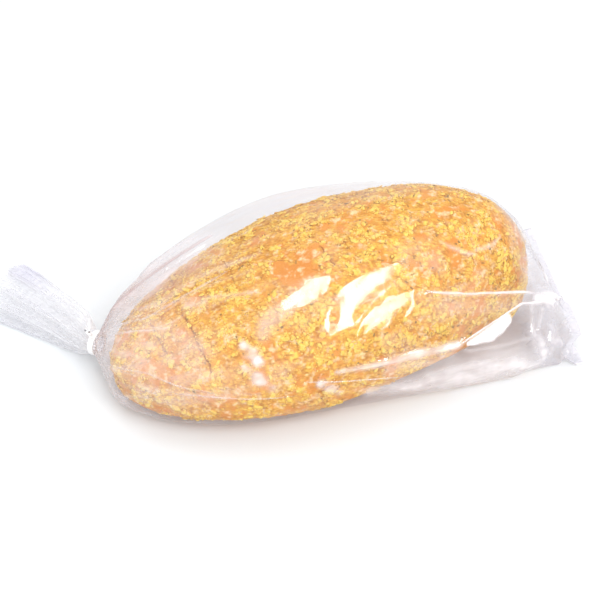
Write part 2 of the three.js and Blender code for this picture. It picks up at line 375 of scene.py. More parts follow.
def ring_noise(turns, length, seed, wander=0.0):
    """Noise that follows the film's own lines: fine across them, slow along them, closed round the bag."""
    a = A * 2 * np.pi
    if wander:
        a = a + wander * fbm(np.stack([film[..., 0].ravel() / 45, film[..., 1].ravel() / 45, film[..., 2].ravel() / 45], -1), 1.0, 2, seed + 40).reshape(a.shape)
    r = turns / (2 * np.pi)
    p = np.stack([np.cos(a) * r, np.sin(a) * r, S / length], -1).reshape(-1, 3)
    return value_noise(p, seed).reshape(A.shape)


def crease(points, high, near, far, rise=0.0, sharp=1.0):
    """A fold of the film along points: high at its crest, near and far its widths on its two sides."""
    points = np.array(points, float)
    points = cast(inside_of(points), unit(points - inside_of(points)))
    fine = along(points, np.linspace(0, 1, 90))
    lo, hi = fine.min(0) - near - far, fine.max(0) + near + far
    pick = np.where(((film > lo) & (film < hi)).all(-1).ravel())[0]
    if not len(pick):
        return np.zeros(A.shape)
    p = film.reshape(-1, 3)[pick]
    n = film_n.reshape(-1, 3)[pick]
    gap = p[:, None, :] - fine[None]
    dist = np.linalg.norm(gap, axis=-1)
    k = dist.argmin(1)
    direction = unit(np.gradient(fine, axis=0))[k]
    side = (np.cross(n, direction) * gap[np.arange(len(pick)), k]).sum(-1)
    width = np.where(side > 0, near, far)
    share = k / 89
    ends = smooth(share, 0, 0.16) * (1 - smooth(share, 0.84, 1))
    shape = np.clip(1 - np.abs(dist[np.arange(len(pick)), k]) / width, 0, 1) ** sharp
    out = np.zeros(A.size)
    out[pick] = high * ends * shape
    return out.reshape(A.shape)


top = smooth(film_n[..., 2], -0.75, -0.2)       # no folds where the film lies on the floor
free = smooth(S, 0, 6) * top
end_fade = 1 - smooth(film[..., 0], 147, 158)

pleats = (
    1.9 * np.exp(-S / 26) * (ridged(ring_noise(34, 70, 3, 0.10)) - 0.55)
    + 1.0 * np.exp(-S / 62) * (ridged(ring_noise(22, 60, 5, 0.16)) - 0.5)
    + 0.6 * np.exp(-S / 120) * (ridged(ring_noise(40, 90, 7, 0.12)) ** 2 - 0.4)
)
back_slack = smooth(film_n[..., 1], -0.1, 0.5) * smooth(film[..., 2], 20, 50)
streaks = 0.55 * back_slack * (ridged(ring_noise(70, 120, 11, 0.10)) ** 2 - 0.45)

# drawn lines of the slack film past the full end
end_slack = smooth(film_n[..., 0], 0.12, 0.42) * smooth(film[..., 0], 92, 118) * smooth(film[..., 2], 8, 24)
streaks = streaks + end_slack * (
    0.75 * (ridged(ring_noise(38, 75, 13, 0.12)) ** 2 - 0.42) + 0.35 * fbm(film.reshape(-1, 3), 11, 3, 15).reshape(A.shape)
)

# folds of the stretched front run down from the crown towards the neck
flat_p = film.reshape(-1, 3)
lean = np.stack([
    flat_p[:, 0] * 0.62 + flat_p[:, 2] * 0.60 - flat_p[:, 1] * 0.50,
    flat_p[:, 0] * 0.60 - flat_p[:, 2] * 0.75 + flat_p[:, 1] * 0.30,
    0 * flat_p[:, 0],
], -1)
bent = lean + 9 * np.stack([fbm(flat_p, 38, 2, 61), fbm(flat_p, 38, 2, 62), 0 * flat_p[:, 0]], -1)
front = (1 - smooth(film_n[..., 1], -0.25, 0.15)) * smooth(film_n[..., 2], -0.35, 0.05)
tension = (
    0.62 * (ridged(value_noise(bent / np.array([46.0, 15.0, 1.0]), 63)) - 0.5)
    + 0.26 * (ridged(value_noise(bent / np.array([30.0, 7.0, 1.0]), 64)) - 0.5)
).reshape(A.shape) * front * smooth(S, 25, 80)
soft = 0.45 * fbm(flat_p, 34, 2, 71).reshape(A.shape) * smooth(S, 30, 90)



def strip_share(points, width, on=None):
    """1 along a line of the film, fading away over width."""
    points = np.array(points, float)
    points = cast(inside_of(points), unit(points - inside_of(points)))
    fine = along(points, np.linspace(0, 1, 60))
    width = np.interp(np.linspace(0, 1, 60), np.linspace(0, 1, len(width)), width) if np.ndim(width) else np.full(60, float(width))
    p = film.reshape(-1, 3) if on is None else on
    reach = 2.4 * width.max()
    pick = np.where(((p > fine.min(0) - reach) & (p < fine.max(0) + reach)).all(-1))[0]
    out = np.zeros(len(p))
    if len(pick):
        d = np.linalg.norm(p[pick][:, None] - fine[None], axis=-1) / width
        out[pick] = np.exp(-d.min(1) ** 2)
    return out.reshape(A.shape) if on is None else out


# where the film is drawn smooth and flat
calm = np.maximum.reduce([
    strip_share([(58, -30, 94), (40, -36, 92), (20, -42, 88), (-4, -52, 78), (-14, -60, 68)], [10, 14, 17, 16, 10]),
    strip_share([(44, -47, 83), (24, -56, 74), (8, -63, 65)], [7, 10, 8]),
    strip_share([(2, -24, 94), (-22, -29, 88), (-46, -32, 79)], [9, 14, 12]),
    strip_share([(104, -62, 44), (94, -65, 41), (80, -67, 41)], [7, 7, 6]),
    strip_share([(64, -42, 84), (54, -51, 77), (42, -60, 68)], [7, 9, 8]),
])

folds = [
    # the two gusset creases of the side and the folds between them
    ([(47, -50, 78), (67, -52, 71), (87, -52, 64), (118, -51, 54), (150, -45, 33), (158, -33, 20)], 1.5, 3.4, 5.5, 1.4),
    ([(150, -46, 34), (137, -53, 40), (116, -56, 49), (99, -61, 47), (83, -65, 44), (67, -68, 40), (47, -70, 41)], 1.3, 5.0, 3.0, 1.3),
    ([(-15, -70, 49), (10, -70, 46), (34, -70, 45), (60, -68, 43)], 1.0, 2.6, 4.0, 1.2),
    ([(-39, -69, 47), (-7, -72, 39), (31, -73, 30)], 0.8, 2.2, 3.4, 1.2),
    # the long folds that part the bright patches on the crown
    ([(46, -28, 96), (27, -33, 94), (7, -37, 90), (-8, -43, 85), (-18, -52, 77), (-18, -62, 67)], 0.14, 3.0, 4.5, 1.2),
    ([(47, -40, 89), (32, -46, 85), (18, -51, 80), (6, -57, 74), (-3, -64, 65)], 0.14, 3.0, 3.0, 1.2),
    ([(44, -44, 85), (41, -56, 71), (33, -60, 66), (12, -63, 64)], 0.14, 3.0, 2.6, 1.2),
    ([(-3, -27, 93), (-7, -35, 89), (-14, -43, 84), (-29, -43, 82), (-44, -50, 72)], 0.25, 4.0, 2.6, 1.2),
    # the flat facet below the diagonal one
    ([(66, -69, 39), (78, -69, 37), (88, -68, 36), (100, -69, 32), (110, -69, 31)], 0.6, 5.0, 3.0, 1.2),
    ([(-75, -47, 62), (-64, -49, 66), (-59, -57, 60)], 0.2, 3.5, 3.5, 1.2),
    ([(-72, -54, 58), (-63, -60, 55), (-52, -68, 43)], 0.2, 4.0, 3.0, 1.2),
    # crumples between the loaf and the weld
    ([(123, -56, 45), (121, -66, 32), (121, -72, 20), (124, -77, 10)], 0.9, 3.0, 4.5, 1.1),
    ([(131, -57, 40), (125, -66, 31), (128, -73, 18), (124, -77, 9)], 0.8, 3.5, 3.0, 1.1),
    ([(141, -54, 36), (134, -69, 22), (131, -77, 6)], 0.7, 2.5, 4.0, 1.1),
    ([(64, -70, 37), (96, -70, 31), (126, -67, 28)], 1.1, 4.0, 6.0, 1.2),
    ([(39, -74, 28), (74, -74, 24), (110, -72, 23)], 1.0, 3.5, 5.0, 1.2),
    ([(46, -75, 18), (81, -75, 17), (123, -76, 13)], 0.9, 3.0, 4.5, 1.2),
    # gathers near the neck
    ([(-136, 22, 43), (-129, 25, 52), (-110, 29, 61), (-80, 34, 71), (-40, 38, 82)], 1.6, 4.0, 3.0, 1.2),
    ([(-134, 23, 47), (-105, 28, 63), (-58, 30, 81), (-20, 30, 88)], 1.1, 3.0, 4.0, 1.2),
    ([(-137, 10, 45), (-123, 0, 53), (-112, -8, 57)], 1.1, 2.6, 2.6, 1.1),
    ([(-140, -10, 35), (-125, -36, 38), (-114, -48, 31)], 1.2, 3.0, 2.4, 1.1),
    ([(-112, -45, 40), (-92, -57, 41), (-70, -64, 39), (-45, -70, 38)], 0.9, 2.6, 3.6, 1.2),
]
fold_height = np.zeros(A.shape)
for points, high, near, far, sharp in folds:
    fold_height = np.maximum(fold_height, crease(points, high, near, far, 0, sharp))

quiet = (1 - smooth(fold_height, 0.05, 0.6)) * (1 - 0.93 * np.clip(1.25 * calm, 0, 1))
relief = (pleats + streaks + (tension + soft) * quiet) * free * end_fade + fold_height * top
relief = np.maximum(relief, -0.75 - 0.9 * np.exp(-S / 30))
film_fine = film + film_n * relief[..., None]
film_fine[..., 2] = np.maximum(film_fine[..., 2], 0.06)
film_fine[..., 0] = np.minimum(film_fine[..., 0], 163.0)

# milky where the film is gathered, creased or double; some of the patches below are painted highlights and painted
# light
rays = ridged(ring_noise(30, 85, 81, 0.14)) ** 5
fine_rays = ridged(ring_noise(64, 60, 83, 0.12)) ** 5
gather = 1 - smooth(S, 22, 105)
cloud = smooth(fbm(flat_p / np.array([1.6, 1, 1]), 17, 3, 85).reshape(A.shape), 0.0, 0.5)
fin = smooth(film[..., 0], 112, 136)
haze = (
    0.55 * np.exp(-np.maximum(S, 0) / 9)
    + gather * (0.11 + 0.17 * rays + 0.10 * fine_rays)
    + 0.16 * rays * (1 - smooth(S, 60, 190)) * (1 - gather)
    + 0.075 * cloud * front * (1 - fin)
    + 0.26 * smooth(fold_height, 0.45, 1.35)
    + 0.10 * smooth(film[..., 0], 153, 158)
)
patch_noise = fbm(flat_p / np.array([1.5, 1, 1]), 5.0, 2, 89).reshape(A.shape)
for points, width, amount, uneven in [
    # white patches of the front: painted highlights, the film's glints painted in as milk
    ([(-28, -37, 84), (-37, -38, 81), (-47, -40, 77), (-54, -45, 72)], [3.0, 5.5, 6.5, 5.0], 0.27, 0.3),
    ([(-67, -46, 66), (-64, -51, 64), (-62, -56, 60)], [3.0, 5.2, 4.0], 0.50, 1.0),
    ([(-70, -55, 57), (-65, -61, 53), (-57, -67, 45)], [2.6, 4.6, 3.2], 0.50, 1.0),
    ([(-27, -71, 43), (-20, -72, 38), (-15, -73, 31)], [2.4, 4.2, 3.4], 0.56, 1.0),
    # soft bands that fan out from the neck
    ([(-130, 16, 51), (-115, 13, 58), (-101, 10, 64), (-80, 14, 72), (-53, 10, 82), (-38, 7, 87)], [2.6, 3.0, 3.2, 3.0, 2.2, 1.4], 0.22, 0.2),
    ([(-131, 17, 50), (-118, 18, 57), (-109, 20, 61), (-98, 22, 65), (-87, 25, 70), (-72, 29, 76)], [1.8, 2.6, 3.2, 3.6, 3.2, 1.8], 0.34, 0.2),
    ([(-125, 10, 53), (-108, 7, 61), (-89, 2, 68), (-66, -12, 77), (-49, -20, 82)], [1.5, 1.6, 1.6, 1.6, 1.2], 0.20, 0.2),
    ([(-132, 7, 49), (-115, -6, 57), (-104, -11, 61)], [1.5, 1.8, 1.3], 0.28, 0.2),
    ([(-115, 2, 57), (-105, -19, 60), (-92, -37, 60)], [7.0, 11.0, 9.0], 0.21, 0.25),
    ([(-118, -15, 54), (-109, -31, 55), (-97, -42, 55)], [6.0, 7.0, 6.0], 0.18, 0.25),
    ([(-90, -3, 67), (-80, -7, 71)], [4.0, 3.5], 0.26, 0.3),
    ([(-140, -12, 38), (-129, -33, 39), (-112, -46, 40), (-90, -57, 42), (-64, -66, 42)], [2.2, 2.4, 2.0, 1.5, 1.0], 0.25, 0.2),
    ([(-124, -33, 44), (-119, -42, 38), (-113, -49, 29)], [1.3, 1.6, 1.3], 0.20, 0.2),
    # veil under the gusset crease; the white line along the lower crease, a painted highlight; the soft band under it;
    # and the pale underside of the front, painted light over the shade that falls beneath the loaf
    ([(59, -56, 67), (79, -56, 60), (100, -56, 54), (112, -55, 50)], 8.0, 0.17, 0.3),
    ([(-16, -70, 48), (12, -70, 45), (36, -70, 44), (66, -68, 41)], [1.2, 2.4, 3.4, 2.6], 0.46, 0.5),
    ([(20, -71, 38), (60, -70, 35)], 6.0, 0.20, 0.4),
    ([(6, -73, 25), (26, -74, 23), (46, -75, 20), (67, -75, 18), (88, -76, 16), (109, -76, 14)], [4.0, 6.0, 9.0, 12.0, 12.0, 9.0], 0.44, 0.3),
    # short curved lines near the full end
    ([(68, -30, 95), (74, -34, 92), (81, -37, 88), (89, -38, 85)], [0.8, 1.3, 1.5, 1.0], 0.26, 0.2),
    ([(90, -36, 86), (96, -35, 85), (103, -33, 84), (110, -28, 82)], [1.0, 1.5, 1.5, 0.9], 0.26, 0.2),
    # crumples between the loaf and the weld, and its white flaps: their whitish lines are partly painted highlights,
    # glints painted in as milk
    ([(123, -56, 45), (121, -66, 32), (121, -72, 20), (124, -77, 10)], [1.8, 2.2, 2.6, 1.4], 0.20, 0.6),
    ([(131, -57, 40), (125, -66, 31), (128, -73, 18), (124, -77, 9)], [1.5, 2.2, 2.2, 1.4], 0.17, 0.6),
    ([(141, -54, 36), (134, -69, 22), (131, -77, 6)], [1.5, 2.2, 1.6], 0.16, 0.6),
    ([(128, -52, 46), (143, -48, 38), (157, -36, 22)], [2.5, 4.6, 2.6], 0.60, 0.5),
    ([(104, -76, 17), (112, -77, 10), (126, -76, 9)], [3.0, 4.0, 3.0], 0.36, 0.5),
    ([(122, -66, 31), (126, -70, 22), (127, -75, 12)], [2.0, 3.4, 2.6], 0.34, 0.5),
]:
    patch = strip_share(points, width)
    if uneven >= 1:
        patch = smooth(patch + 0.34 * patch_noise, 0.08, 1.12)
    patch = amount * patch * np.clip(1 + uneven * patch_noise, 0.3, 1.25)
    haze = np.maximum(haze, patch) + 0.25 * np.minimum(haze, patch)
haze *= 1 - 0.75 * strip_share([(-37, -2, 87), (-29, -8, 90), (-20, -13, 92)], 11.0)
haze = np.clip(haze, 0, 0.92)
# painted highlight: the flat facet below the diagonal fold is painted near-white milk where it shines
facet_highlight = strip_share([(74, -69, 39.4), (82, -67, 40), (91, -66, 40.5), (98, -64, 42), (103, -62, 44)], [1.4, 3.5, 5.6, 5.6, 4.2])
haze = np.maximum(haze, 0.88 * smooth(facet_highlight + 0.16 * patch_noise, 0.32, 0.60))
panel_noise = fbm(flat_p, 9, 3, 87).reshape(A.shape)
haze += fin * (1 - haze) * np.clip(0.24 + 0.14 * smooth(film[..., 2], 26, 42) + 0.32 * panel_noise, 0.06, 0.6)
rim = strip_share([(66, -77, 0), (100, -78, 0), (130, -78, 0), (156, -78, 0)], 2.2)
haze = np.clip(np.maximum(haze, 0.75 * rim), 0, 0.92)

# painted shade: greyer, lilac milk on the panels beyond the loaf
painted_shade = np.clip(fin * (0.9 - 1.2 * smooth(haze, 0.35, 0.6)), 0, 1)

# painted reflection of the crust and painted shade: where the gathered film lies against the loaf's shoulder it is
# painted a dull, darker rosy tone
behind = smooth(film[..., 1], 9, 22) * smooth(film[..., 2], 20, 34) * (1 - smooth(film[..., 1], 44, 60))
behind *= smooth(-film[..., 0], 40, 92) * smooth(S, 1, 8)
collar = np.exp(-np.maximum(S - 4, 0) / 9) * smooth(S, 0, 3) * smooth(-film_n[..., 1], -0.7, 0.2)
edge_streak = strip_share([(-134, 27, 45), (-127, 27, 53), (-111, 31, 61), (-94, 35, 67), (-80, 38, 72), (-60, 42, 78)], [1.6, 2.0, 2.0, 2.4, 2.4, 1.6])
outer = smooth(film[..., 1], 36, 43) * behind
crust_reflection = np.clip(0.55 * behind * (1 - 0.8 * outer) + 0.65 * edge_streak + 0.6 * collar, 0, 1)
# painted shade also along the film's outer edge behind the loaf
painted_shade = np.maximum(painted_shade, 0.5 * outer)
shoulder = smooth(film_n[..., 1], 0.02, 0.34) * (1 - smooth(film_n[..., 1], 0.5, 0.8)) * smooth(film[..., 2], 52, 74) * (1 - fin)
shoulder *= np.clip(0.55 + 0.9 * rays + 0.8 * fbm(flat_p / np.array([2.4, 1, 1]), 12, 2, 93).reshape(A.shape), 0, 1.3)
crust_reflection = np.clip(np.maximum(crust_reflection, 0.45 * shoulder), 0, 1)
haze = np.maximum(haze, 0.17 * shoulder)
haze = np.maximum(haze, 0.37 * behind * (0.7 + 0.6 * rays))
haze = np.maximum(haze, 0.70 * edge_streak)
haze = np.maximum(haze, 0.38 * collar)

body_verts = film_fine.reshape(-1, 3)
body_tris = grid_tris(ROWS, AROUND, True)
film_tree = BVHTree.FromPolygons([Vector(v) for v in body_verts.tolist()], body_tris.tolist())


def under_film(points, clear):
    """Moves points that come nearer to the film than clear back in, along the film's own direction."""
    out = np.array(points, float)
    clear = np.broadcast_to(np.asarray(clear, float), (len(out),)).tolist()
    core = Vector((0.0, -5.0, 35.0))
    for k, q in enumerate(out.tolist()):
        q = Vector(q)
        co, n, _, _ = film_tree.find_nearest(q)
        if n.dot(co - core) < 0:
            n = -n
        over = (q - co).dot(n) + clear[k]
        if over > 0:
            out[k] = q - n * over
    return out


def on_film(points):
    """The nearest points of the finished film, with its outward direction there."""
    base = cast(inside_of(points), unit(points - inside_of(points)))
    out, normals = [], []
    for p, q in zip(points, base):
        hit = film_tree.find_nearest(Vector(q))
        n = np.array(hit[1])
        if n @ (np.array(hit[0]) - np.array([0, -5, 35.0])) < 0:
            n = -n
        out.append(hit[0])
        normals.append(n)
    return np.array(out), np.array(normals)


def ribbon(points, width, high, milk, turn=0.0):
    """A crease where the film lies double: a narrow raised band that follows it."""
    length = np.linalg.norm(np.diff(points, axis=0), axis=1).sum()
    fine = along(points, np.linspace(0, 1, max(12, int(length / 1.2))))
    p, n = on_film(fine)
    for _ in range(3):
        p[1:-1] = (p[:-2] + 2 * p[1:-1] + p[2:]) / 4
        n[1:-1] = (n[:-2] + 2 * n[1:-1] + n[2:]) / 4
    n = unit(n)
    t = unit(np.gradient(p, axis=0))
    side = unit(np.cross(n, t))
    share = np.linspace(0, 1, len(p))
    w = width * smooth(share, 0, 0.1) * (1 - smooth(share, 0.9, 1)) * (1 + 0.35 * fbm(p, 7, 2, 91))
    profile = [(-0.5, 0.0), (-0.28, 0.62), (0.0, 1.0), (0.3, 0.55), (0.5, 0.0)]
    grid = np.stack([p + side * (w * k)[:, None] + n * (0.12 + high * h) for k, h in profile], 1)
    fade = np.repeat(smooth(share, 0, 0.22) * (1 - smooth(share, 0.78, 1)), len(profile))
    return grid.reshape(-1, 3), grid_tris(len(p), len(profile), False), milk * (0.25 + 0.75 * fade)


# the whitening of these crease bands is partly the film lying double and partly a painted highlight along the crease
ribbons = [
    ([(47, -50, 78), (67, -52, 71), (87, -52, 64), (118, -51, 54), (135, -50, 45)], 1.5, 0.55, 0.55),
    ([(130, -51, 47), (141, -48, 40), (150, -45, 33), (158, -33, 20)], 3.2, 0.7, 0.7),
    ([(150, -46, 34), (137, -53, 40), (116, -56, 49), (99, -61, 47), (83, -65, 44), (67, -68, 40)], 1.3, 0.5, 0.6),
    ([(-39, -69, 47), (-7, -72, 39), (31, -73, 30)], 0.9, 0.3, 0.30),
    ([(-138, 10, 44), (-123, 0, 53), (-110, -9, 58)], 1.3, 0.3, 0.20),
    ([(-140, -3, 36), (-124, -30, 46), (-108, -45, 44), (-88, -56, 42)], 1.2, 0.3, 0.18),
    ([(-136, 15, 44), (-114, 4, 57), (-84, 5, 70), (-56, 6, 80)], 1.8, 0.3, 0.20),
    ([(-112, -45, 40), (-92, -57, 41), (-70, -64, 39), (-42, -69, 37)], 0.9, 0.25, 0.22),
]
parts, count = [(body_verts, body_tris, haze.ravel())], len(body_verts)
for points, width, high, milk in ribbons:
    v, t, m = ribbon(np.array(points, float), width, high, milk)
    parts.append((v, t + count, m))
    count += len(v)

film_body = make_mesh(
    "bag_film", np.vstack([p[0] for p in parts]), np.vstack([p[1] for p in parts]),
    {"haze": np.concatenate([p[2] for p in parts]), "painted_shade": np.append(painted_shade.ravel(), np.zeros(count - painted_shade.size)),
     "crust_reflection": np.append(crust_reflection.ravel(), np.zeros(count - crust_reflection.size))},
)

# ---------------------------------------------------------------- tail: four pleated layers of the open mouth

LOW, HIGH = np.array([-196.0, 91.0, 0.0]), np.array([-173.0, 96.0, 41.0])
TAIL_AXIS = unit((LOW + HIGH) / 2 - NECK)
MOUTH_UP = unit(HIGH - LOW)


def tail_layer(layer, rows=64, columns=230):
    """One layer of the fan: share runs from the tie to the mouth, c from its low edge to its high one."""
    side = lerp(1.0, -1.0, layer / 3)
    share = np.linspace(0, 1, rows)[:, None] ** 1.15
    c = np.linspace(-1, 1, columns)[None, :]
    sprung = 1 - np.exp(-share / 0.08)
    start = NECK + NECK_AXIS * 2.2
    low = start - NECK_UP * NECK_R + (LOW - (start - NECK_UP * NECK_R)) * share[..., None]
    low[..., 2] = np.maximum(low[..., 2] - 9 * sprung * (1 - share), 0.2)
    high = start + NECK_UP * NECK_R + (HIGH - (start + NECK_UP * NECK_R)) * share[..., None]
    high = high + MOUTH_UP * (11 * sprung * (1 - share) ** 0.7)[..., None]
    up = unit(high - low)
    half = np.linalg.norm(high - low, axis=-1) / 2
    axis = unit(NECK_AXIS + (TAIL_AXIS - NECK_AXIS) * smooth(share, 0, 0.35)[..., None])
    out = unit(np.cross(up, axis))
    out *= np.where(out @ NECK_FRONT < 0, -1, 1)[..., None]
    thick = lerp(NECK_R, 3.5, smooth(share, 0, 0.6)) + 2 * sprung * (1 - share)
    body = np.sqrt(np.clip(1 - c * c, 0, 1))

    seed = 200 + 10 * layer
    flow = np.stack(np.broadcast_arrays(c * 3.1 + layer * 7.7, share * 1.7, 0 * c + layer), -1).reshape(-1, 3)
    bend = fbm(flow, 1.0, 2, seed).reshape(rows, columns)
    line = c * (7.5 + 1.3 * layer) + 0.55 * bend + layer * 0.37
    zig = 2 * np.abs(2 * (line - np.floor(line + 0.5))) - 1          # folds with sharp crests
    fine = ridged(value_noise(np.stack(np.broadcast_arrays(c * 26 + bend * 2, share * 2.6, 0 * c + seed), -1).reshape(-1, 3), seed + 1)).reshape(rows, columns) - 0.5
    crinkle = fbm(np.stack(np.broadcast_arrays(c * 9, share * 9, 0 * c + seed), -1).reshape(-1, 3), 1.0, 3, seed + 2).reshape(rows, columns)
    deep = sprung * lerp(0.6, 1.25, share) * (1 - 0.35 * np.abs(c) ** 3)
    offset = (side * 0.72 * thick * body + 3.6 * sprung * lerp(0.5, 1, share) * np.sin(c * np.pi * 3.5) * np.sqrt(body) * 0.8
              + deep * zig * 0.75 + fine * 1.0 * sprung + crinkle * 0.9 * smooth(share, 0.15, 0.8))
    # each fold leans over the next one
    lean_c = np.clip(c + sprung * 0.030 * np.sin(2 * np.pi * line + 0.6) * (1 - c ** 4), -1, 1)
    p = (low + high) / 2 + up * (half * lean_c)[..., None]
    p = p + out * offset[..., None]
    mouth = 9 * share * (1 - c ** 4) + 2.2 * share ** 3 * fbm(np.stack(np.broadcast_arrays(c * 6, 0 * share + layer * 5.0, 0 * c), -1).reshape(-1, 3), 1.0, 2, seed + 3).reshape(rows, columns)
    p = p + TAIL_AXIS * mouth[..., None]
    p[..., 2] = np.maximum(p[..., 2], 0.15 + 0.1 * layer)
    # whiter on the fold crests as a painted highlight; greyer in the fold troughs as painted shade, and greyer towards
    # the high edge near the mouth and along the low edge
    milk = (0.50 * np.exp(-share / 0.10) + (0.26, 0.03, 0.03, 0.18)[layer] + 0.12 * np.clip(zig, 0, 1) ** 4 + 0.08 * np.clip(fine * 2, 0, 1) ** 3
            + 0.10 * smooth(share, 0.965, 1.0) + 0.22 * smooth(c, 0.15, 0.75) * smooth(share, 0.45, 0.85))
    grey = 0.85 * smooth(c, 0.25, 0.9) * smooth(share, 0.35, 0.9) + 0.22 * np.clip(-zig, 0, 1) ** 2 + 0.35 * smooth(-c, 0.4, 0.8) * smooth(bend, 0.0, 0.4)
    return p.reshape(-1, 3), grid_tris(rows, columns, False), np.clip(milk, 0, 0.92).ravel(), grey.ravel()


parts, count = [], 0
for layer in range(4):
    v, t, m, g = tail_layer(layer)
    parts.append((v, t + count, m, g))
    count += len(v)
film_tail = make_mesh(
    "bag_tail", np.vstack([p[0] for p in parts]), np.vstack([p[1] for p in parts]),
    {"haze": np.concatenate([p[2] for p in parts]), "painted_shade": np.concatenate([p[3] for p in parts])},
)

# ---------------------------------------------------------------- crust

CRUST_ROWS, CRUST_AROUND = 316, 306


def crust_grid():
    phi = (np.arange(1, CRUST_ROWS + 1) / (CRUST_ROWS + 1) * 2 - 1) * np.pi / 2
    x = HALF_LENGTH * np.sin(phi) - 0.3 * np.sin(phi)
    t = np.arange(720) / 720 * 2 * np.pi
    rings = []
    for xi in x:
        ring = loaf(xi, t, -0.9, floor=0.9)
        rings.append(even_ring(ring, 1, CRUST_AROUND, 0.45 + 0.75 * smooth(ring[:, 2], 1, 22)))
    return np.array(rings)


crust = crust_grid()
crust_n = grid_normals(crust, True)
crust_n *= np.where((crust_n * (crust - np.array([0, -5, 35.0]))).sum(-1, keepdims=True) < 0, -1, 1)
cp, cn = crust.reshape(-1, 3), crust_n.reshape(-1, 3)


def on_loaf(points):
    """Points of the loaf's plain form from (x, angle in degrees)."""
    points = np.array(points, float)
    return loaf(points[:, 0], np.radians(points[:, 1]), -0.9)


def near_line(points, p, width, fade=0.12):
    """1 on a line over the loaf, 0 away from it, tapered to its ends."""
    fine = along(on_loaf(points), np.linspace(0, 1, 70))
    lo, hi = fine.min(0) - 3 * width, fine.max(0) + 3 * width
    pick = np.where(((p > lo) & (p < hi)).all(-1))[0]
    out = np.zeros(len(p))
    if len(pick):
        d = np.linalg.norm(p[pick][:, None] - fine[None], axis=-1)
        k = d.argmin(1)
        share = k / 69
        ends = smooth(share, 0, fade) * (1 - smooth(share, 1 - fade, 1))
        out[pick] = np.exp(-(d[np.arange(len(pick)), k] / width) ** 2) * (0.35 + 0.65 * ends)
    return out


def near_spot(x, angle, long, wide, p, power=2.0):
    c = on_loaf([(x, angle)])[0]
    d = p - c
    return np.exp(-(((d[:, 0] / long) ** 2 + (d[:, 1] / wide) ** 2 + (d[:, 2] / wide) ** 2) ** (power / 2)))


CUTS = [
    ([(-113, 74), (-112, 90), (-111, 103), (-110, 119), (-107, 140)], 0.85, 1.0),
    ([(-94, 86), (-92, 103), (-92, 114), (-91, 124), (-89, 136), (-88, 156)], 0.95, 1.25),
    ([(-3, 93), (-3, 98), (-1, 101), (0, 109)], 0.8, 1.1),
    ([(47, 157), (46, 171), (47, 184)], 0.7, 0.7),
    ([(-60, 60), (-57, 78), (-58, 92)], 0.8, 0.7),
    ([(52, 60), (55, 74), (53, 88)], 0.8, 0.7),
    ([(96, 52), (99, 70), (97, 84)], 0.8, 0.6),
]


def cover(p, n):
    """How thickly grit covers the crust, 0 to 1."""
    base = 0.80 + 0.32 * fbm(p, 26, 3, 301) + 0.80 * fbm(p, 7.5, 2, 305)
    q = p + 5.0 * np.stack([fbm(p, 11, 2, 311 + k) for k in range(3)], -1)
    base -= 0.75 * near_spot(-27, 97, 17, 12, q) + 0.35 * near_spot(-9, 100, 6, 8, q)
    base -= 0.45 * near_spot(129, 148, 13, 20, q)
    base += 0.45 * near_spot(-8, 89, 8, 6, p)
    base -= 0.14 * smooth(-p[:, 0], 100, 132)
    base -= 0.25 * near_spot(-60, 172, 34, 16, q)
    base *= smooth(p[:, 2], 5, 24) * 0.9 + 0.1
    return np.clip(base, 0, 1)


COVER = cover(cp, cn)


def scatter(amount, seed, low=0.0, power=1.0, weight=None):
    """Random places on the crust, thick where the grit is."""
    r = np.random.default_rng(seed)
    g = crust
    area = np.linalg.norm(np.cross(np.roll(g, -1, 1)[:-1] - g[:-1], g[1:] - g[:-1]), axis=-1)
    dens = COVER.reshape(crust.shape[:2])[:-1] if weight is None else weight.reshape(crust.shape[:2])[:-1]
    prob = (area * np.maximum(dens - low, 0) ** power).ravel()
    prob /= prob.sum()
    cell = r.choice(len(prob), amount, p=prob)
    i, j = np.divmod(cell, g.shape[1])
    u, v = r.random(amount)[:, None], r.random(amount)[:, None]
    j2 = (j + 1) % g.shape[1]
    p = lerp(lerp(g[i, j], g[i, j2], v), lerp(g[i + 1, j], g[i + 1, j2], v), u)
    n = unit(crust_n[i, j])
    return p, n


# crumbs baked into the crust: a cellular relief with crevices between them
seeds, _ = scatter(15000, 401, low=-0.25, power=0.7)
tree = KDTree(len(seeds))
for k, p in enumerate(seeds.tolist()):
    tree.insert(p, k)
tree.balance()
seed_tone = np.random.default_rng(402).random(len(seeds))
seed_size = np.random.default_rng(403).random(len(seeds))
d1, d2, own = np.empty(len(cp)), np.empty(len(cp)), np.empty(len(cp), np.int64)
jitter = 0.7 * np.stack([fbm(cp, 3.2, 2, 411 + k) for k in range(3)], -1)
for k, p in enumerate((cp + jitter).tolist()):
    (_, a, da), (_, _, db) = tree.find_n(p, 2)
    d1[k], d2[k], own[k] = da, db, a
edge = smooth(d2 - d1, 0.0, 1.1)
crumb_on = smooth(COVER + 0.35 * (seed_tone[own] - 0.5), 0.30, 0.62)
crumb_high = 0.35 + 0.65 * seed_size[own]

# crumbs bake together into clumps, with torn gaps round them
clump_noise = fbm(cp, 6.2, 3, 451)
clump = smooth(clump_noise, -0.06, 0.16) * smooth(COVER, 0.25, 0.55)
gap = np.exp(-((clump_noise + 0.04) / 0.060) ** 2) * smooth(COVER, 0.2, 0.5) * smooth(fbm(cp, 12, 2, 455), -0.45, 0.1)
gap = np.maximum(gap, 0.55 * np.exp(-((fbm(cp, 3.4, 2, 457) + 0.30) / 0.10) ** 2) * smooth(COVER, 0.15, 0.45))

